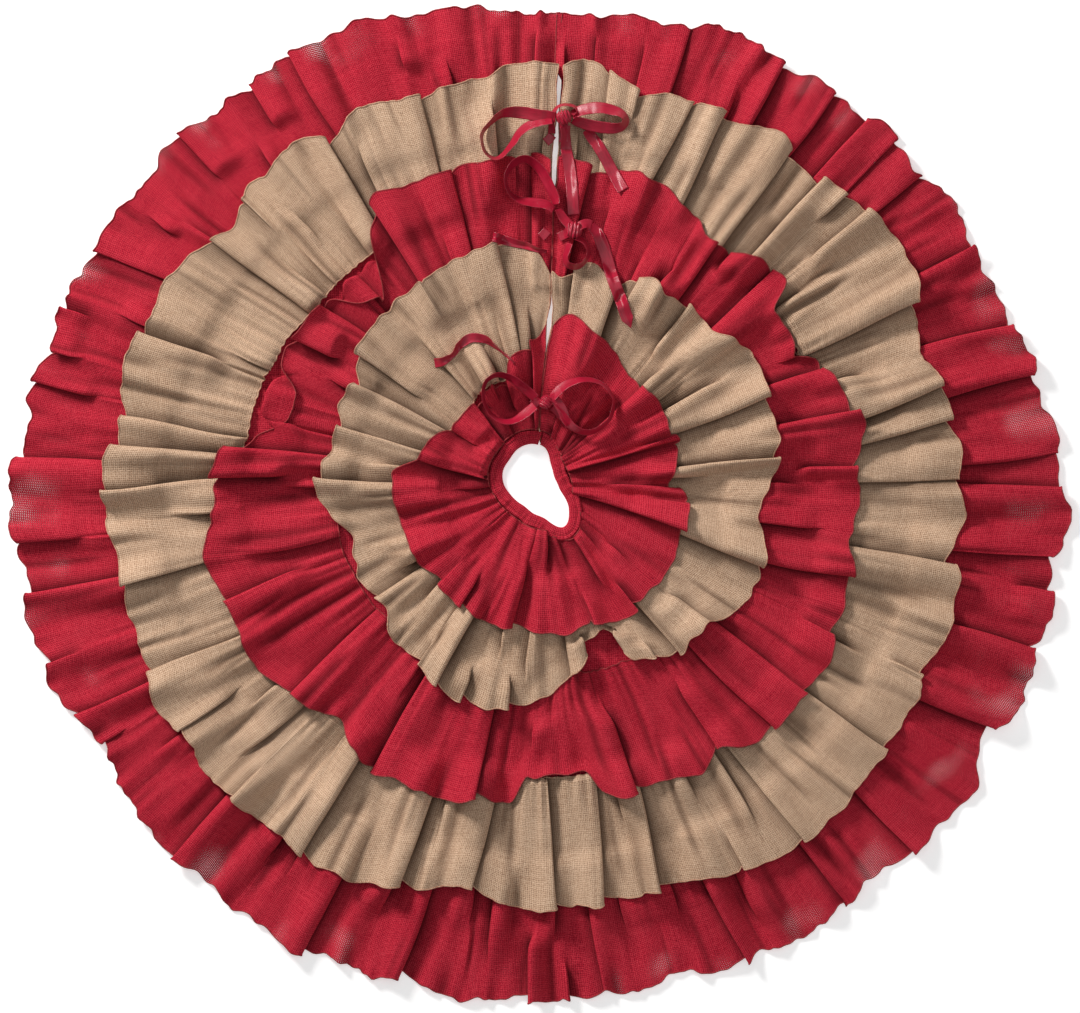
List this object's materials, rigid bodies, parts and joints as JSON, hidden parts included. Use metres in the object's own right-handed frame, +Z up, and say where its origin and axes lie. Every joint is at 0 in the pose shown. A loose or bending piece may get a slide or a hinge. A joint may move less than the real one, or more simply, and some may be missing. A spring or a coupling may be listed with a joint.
{
  "type": "tree skirt",
  "caption": "Round burlap tree skirt of gathered ruffle tiers in two colours round a bound trunk opening, slit at one side and tied shut with satin ribbon bows.",
  "frame": {"origin": "middle of the skirt's footprint, on the floor", "axes": "+Z up off the floor; +Y towards the slit side; +X to the right with the slit at the far side"},
  "size_m": [1.22, 1.1398, 0.045],
  "materials": {
    "red_burlap": "matte woven",
    "natural_burlap": "matte woven",
    "red_satin": "satin sheen",
    "red_thread": "matte"
  },
  "bodies": {
    "skirt_main": {"base_cloth_main": "red_burlap", "gather_threads_main": "red_thread", "neck_binding_main": "red_burlap", "ruffle_1_main": "red_burlap", "ruffle_2_main": "natural_burlap", "ruffle_3_main": "red_burlap", "ruffle_4_main": "natural_burlap", "ruffle_5_main": "red_burlap"},
    "left_flap": {"base_cloth_left_flap": "red_burlap", "bow_middle_left_loop": "red_satin", "bow_neck_left_loop": "red_satin", "bow_outer_left_loop": "red_satin", "gather_threads_left_flap": "red_thread", "neck_binding_left_flap": "red_burlap", "ribbon_anchors_left": "red_satin", "ruffle_1_left_flap": "red_burlap", "ruffle_2_left_flap": "natural_burlap", "ruffle_3_left_flap": "red_burlap", "ruffle_4_left_flap": "natural_burlap", "ruffle_5_left_flap": "red_burlap", "slit_edging_left": "red_thread"},
    "right_flap": {"base_cloth_right_flap": "red_burlap", "bow_middle_knot": "red_satin", "bow_middle_right_loop": "red_satin", "bow_neck_knot": "red_satin", "bow_neck_right_loop": "red_satin", "bow_outer_knot": "red_satin", "bow_outer_right_loop": "red_satin", "gather_threads_right_flap": "red_thread", "neck_binding_right_flap": "red_burlap", "ribbon_anchors_right": "red_satin", "ruffle_1_right_flap": "red_burlap", "ruffle_2_right_flap": "natural_burlap", "ruffle_3_right_flap": "red_burlap", "ruffle_4_right_flap": "natural_burlap", "ruffle_5_right_flap": "red_burlap", "slit_edging_right": "red_thread"},
    "middle_left_tail": {"bow_middle_left_tail": "red_satin"},
    "middle_right_tail": {"bow_middle_right_tail": "red_satin"},
    "neck_left_tail": {"bow_neck_left_tail": "red_satin"},
    "outer_tail_a": {"bow_outer_tail_a": "red_satin"},
    "outer_tail_b": {"bow_outer_tail_b": "red_satin"}
  },
  "joints": [
    {"name": "left_flap_fold", "type": "hinge", "parent": "skirt_main", "child": "left_flap", "pos_m": [-0.2496, 0.18839, 0.026], "axis": [0.8387, -0.5446, 0], "range_deg": [0, 120]},
    {"name": "right_flap_fold", "type": "hinge", "parent": "skirt_main", "child": "right_flap", "pos_m": [0.2693, 0.1612, 0.026], "axis": [0.891, 0.454, 0], "range_deg": [0, 120]},
    {"name": "outer_tail_a_lift", "type": "hinge", "parent": "right_flap", "child": "outer_tail_a", "pos_m": [0.03375, 0.43299, 0.0244], "axis": [-0.9964, -0.0847, 0], "range_deg": [0, 60]},
    {"name": "outer_tail_b_lift", "type": "hinge", "parent": "right_flap", "child": "outer_tail_b", "pos_m": [0.05845, 0.42757, 0.0244], "axis": [-0.8565, -0.5162, 0], "range_deg": [0, 60]},
    {"name": "middle_right_tail_lift", "type": "hinge", "parent": "right_flap", "child": "middle_right_tail", "pos_m": [0.06491, 0.3148, 0.0244], "axis": [-0.9317, -0.3633, 0], "range_deg": [0, 60]},
    {"name": "middle_left_tail_lift", "type": "hinge", "parent": "left_flap", "child": "middle_left_tail", "pos_m": [0.0139, 0.29024, 0.0244], "axis": [0.2537, 0.9673, 0], "range_deg": [0, 60]},
    {"name": "neck_left_tail_lift", "type": "hinge", "parent": "left_flap", "child": "neck_left_tail", "pos_m": [-0.021, 0.163, 0.0244], "axis": [0, 1, 0], "range_deg": [0, 60]}
  ]
}
